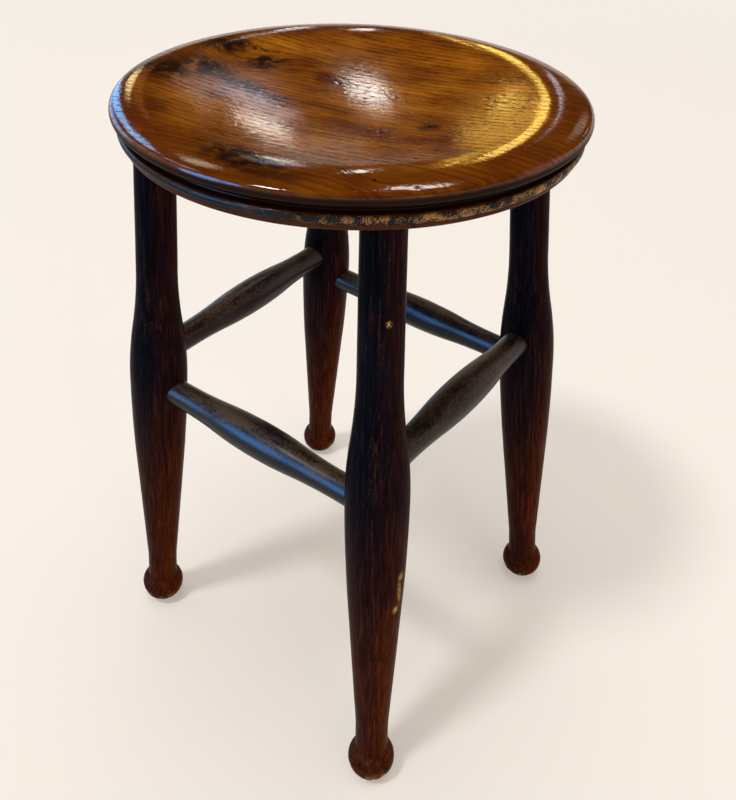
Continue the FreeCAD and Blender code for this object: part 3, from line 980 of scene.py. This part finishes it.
# How much of the floor's look is its own even glow, from close by the stool to far off.
GLOW_SPAN = {"From Min": 0.7, "From Max": 4.0, "To Min": 0.36, "To Max": 1.0}

# The surround's brown ceiling: where it starts, as a share of straight up, and how much lower it
# comes on the wall that has the windows.
CEILING_BROWN = "#3a2d20"
CEILING_SPAN = {"From Min": 0.5, "From Max": 0.54}
CEILING_DROP = 0.375
WINDOW_WALL = (-0.6, 0.8, 0)
WINDOW_WALL_SPAN = {"From Min": 0.5, "From Max": 0.7}


def pale_floor():
    """Matt cream paper that keeps the shadows. To the camera and in mirrors, part of it is an even
    glow that grows with distance, so that it meets the surround with no line."""
    material, tree = fresh_material("cream_paper")
    rays = add(tree, "ShaderNodeLightPath").outputs
    seen = add(tree, "ShaderNodeMath", PLUS, {0: rays["Is Camera Ray"], 1: rays["Is Glossy Ray"]})
    shown = add(
        tree,
        "ShaderNodeMath",
        {"operation": "ADD", "use_clamp": True},
        {0: seen, 1: rays["Is Transmission Ray"]},
    )
    place = add(tree, "ShaderNodeTexCoord").outputs["Object"]
    distance = add(tree, "ShaderNodeVectorMath", LENGTH, {0: place})
    glow_share = add(tree, "ShaderNodeMapRange", SMOOTH, {"Value": distance, **GLOW_SPAN})
    share = add(tree, "ShaderNodeMath", TIMES, {0: shown, 1: glow_share})
    matt = add(tree, "ShaderNodeBsdfDiffuse", {}, {"Color": linear(CREAM)})
    glow = add(tree, "ShaderNodeEmission", {}, {"Color": linear(CREAM), "Strength": 1.0})
    mixed = add(tree, "ShaderNodeMixShader", {}, {0: share, 1: matt, 2: glow})
    add(tree, "ShaderNodeOutputMaterial", {}, {"Surface": mixed})
    return material


def pale_surround():
    """Cream all round, under a brown ceiling that the seat's polish mirrors dark between its windows."""
    world = bpy.data.worlds.new("studio")
    world.use_nodes = True
    tree = world.node_tree
    tree.nodes.clear()
    way = add(tree, "ShaderNodeTexCoord").outputs["Generated"]
    rise = add(tree, "ShaderNodeSeparateXYZ", {}, {0: way}).outputs["Z"]
    to_wall = add(tree, "ShaderNodeVectorMath", ALONG, {0: way, 1: WINDOW_WALL}).outputs["Value"]
    on_wall = add(tree, "ShaderNodeMapRange", {}, {"Value": to_wall, **WINDOW_WALL_SPAN})
    raised = weighed(tree, [(on_wall, CEILING_DROP)], rise)
    overhead = add(tree, "ShaderNodeMapRange", {}, {"Value": raised, **CEILING_SPAN})
    tint = layered(tree, linear(CREAM), [(overhead, CEILING_BROWN)])
    background = add(tree, "ShaderNodeBackground", {}, {"Color": tint})
    add(tree, "ShaderNodeOutputWorld", {}, {"Surface": background})
    return world


floor_mesh = bpy.data.meshes.new("floor")
floor_corners = [(x * FLOOR_HALF, y * FLOOR_HALF, 0) for x, y in ((-1, -1), (1, -1), (1, 1), (-1, 1))]
floor_mesh.from_pydata(floor_corners, [], [(0, 1, 2, 3)])
floor_mesh.materials.append(pale_floor())
floor = bpy.data.objects.new("floor", floor_mesh)
bpy.context.scene.collection.objects.link(floor)
bpy.context.scene.world = pale_surround()

LAMP_AIM = Vector((0, 0, SEAT_UNDERSIDE))
LAMP_DISTANCE = 10.0


def soft_lamp(name, bearing, elevation, width, height, roll, radiance, colour):
    """A soft oval lamp aimed at the seat. Its bearing is from +Y towards +X, and its width and height
    are the angles that it spans there. All are in degrees."""
    data = bpy.data.lights.new(name, "AREA")
    data.shape = "ELLIPSE"
    data.size = 2 * LAMP_DISTANCE * math.tan(math.radians(width) / 2)
    data.size_y = 2 * LAMP_DISTANCE * math.tan(math.radians(height) / 2)
    data.energy = radiance * math.pi * data.size * data.size_y * math.pi / 4
    data.color = linear(colour)[:3]
    lamp = bpy.data.objects.new(name, data)
    bpy.context.scene.collection.objects.link(lamp)
    turn, rise = math.radians(bearing), math.radians(elevation)
    way = Vector((math.sin(turn) * math.cos(rise), math.cos(turn) * math.cos(rise), math.sin(rise)))
    lamp.location = LAMP_AIM + way * LAMP_DISTANCE
    spin = Quaternion((0, 0, 1), math.radians(roll))
    lamp.rotation_euler = (way.to_track_quat("Z", "Y") @ spin).to_euler()
    lamp.visible_camera = False
    return lamp


# Each lamp: bearing, elevation, width, height and roll in degrees, radiance and colour. The lamps light
# the stool. The wide one overhead doesn't show in its gloss, and the windows show there alone: each is
# named for the gleam that it makes on the seat's polish or on a stretcher.
OVERHEAD = (-36, 82, 50.0, 50.0, 0, 2.9, "#fbfaff")
LAMPS = {
    "key": (-156, 62, 9.0, 9.0, 0, 76.0, "#f9fbff"),
    "amber": (112, 24, 13.0, 13.0, 0, 4.0, "#ffb96a"),
}
WINDOWS = {
    "white": (-36.6, 21.4, 1.4, 4.4, -8, 8.5, "#fffaf0"),
    "upper_streak": (-41.9, 19.4, 0.9, 6.8, -34, 4.6, "#e2eaff"),
    "lower_streak": (-41.7, 14.9, 1.5, 4.8, -26, 6.0, "#fff6e6"),
    "low_sheen": (-38.6, 11.4, 4.6, 1.5, -20, 1.3, "#ffe9d0"),
    "left_crest": (-44.4, 20.3, 1.0, 4.2, 0, 1.3, "#ffeedd"),
    "gold_crescent": (-27.0, 18.4, 2.8, 8.2, 0, 6.4, "#ffd468"),
    "gold_tail": (-29.4, 14.6, 1.2, 6.0, 31, 2.8, "#ffcf5c"),
    "gold_patch": (-30.1, 19.6, 0.8, 4.6, 8, 6.6, "#ffd468"),
    "gold_branch": (-31.1, 14.6, 0.8, 5.0, 15, 3.2, "#ffcf5c"),
    "gold_glow": (-28.6, 17.5, 7.0, 11.0, 0, 0.8, "#ffb84a"),
    "gold_left": (-57.7, 14.4, 2.6, 8.0, 0, 4.8, "#ffdc9a"),
    "orange_left": (-54.8, 17.5, 3.6, 9.0, 15, 0.6, "#ff9a48"),
    "right_crest": (-21.5, 16.8, 1.1, 7.2, -18, 3.0, "#f2ecff"),
    "right_rim": (-11.5, 21.5, 4.0, 8.0, 0, 1.0, "#efe2c4"),
    "right_glint": (-1.6, 19.3, 3.0, 5.0, 0, 3.0, "#ffffff"),
    "front_nose": (-24.0, 49.0, 8.5, 5.0, 0, 14.0, "#fffaf2"),
    "cream_nose": (-59.0, 37.8, 5.4, 4.6, 0, 4.0, "#ffeccc"),
    "blue_nose": (-63.6, 15.0, 4.4, 25.0, -8, 5.6, "#74c0ff"),
    "blue_turn": (-70.5, 32.0, 7.5, 15.0, -43, 6.6, "#7cc8ff"),
    "cyan_line": (-105.0, 45.0, 26.0, 12.0, 0, 3.0, "#8cccff"),
    "violet_right": (26.0, 38.0, 40.0, 16.0, 0, 0.9, "#a093c4"),
    "blue_side": (-84, 9, 40.0, 22.0, 0, 3.2, "#6ab4ff"),
    "low_blue": (-152, 18, 31.0, 36.0, 0, 18.0, "#4fa4ff"),
}
soft_lamp("overhead_lamp", *OVERHEAD).visible_glossy = False
for name, settings in LAMPS.items():
    soft_lamp(f"{name}_lamp", *settings)
for name, settings in WINDOWS.items():
    soft_lamp(f"{name}_window", *settings).visible_diffuse = False

# Camera: its frame, lens and shift in pixels, its place, and its turns in degrees.
FRAME_LONG_SIDE = 800
FOCAL_LENGTH_PIXELS = 803.8
SHIFT_PIXELS = (9.45, -73.65)
CAMERA_PLACE = (0.3361, -0.4418, 0.7374)
CAMERA_HEADING = 36.29
CAMERA_DROP = 35.64
CAMERA_ROLL = 1.95

camera_data = bpy.data.cameras.new("camera")
camera = bpy.data.objects.new("camera", camera_data)
bpy.context.scene.collection.objects.link(camera)
camera_data.lens = camera_data.sensor_width * FOCAL_LENGTH_PIXELS / FRAME_LONG_SIDE
camera_data.shift_x = SHIFT_PIXELS[0] / FRAME_LONG_SIDE
camera_data.shift_y = SHIFT_PIXELS[1] / FRAME_LONG_SIDE
heading = Matrix.Rotation(math.radians(CAMERA_HEADING), 4, "Z")
pitch = Matrix.Rotation(math.radians(90 - CAMERA_DROP), 4, "X")
roll = Matrix.Rotation(math.radians(CAMERA_ROLL), 4, "Z")
camera.matrix_world = Matrix.Translation(CAMERA_PLACE) @ heading @ pitch @ roll
bpy.context.scene.camera = camera
bpy.context.scene.view_settings.view_transform = "Standard"
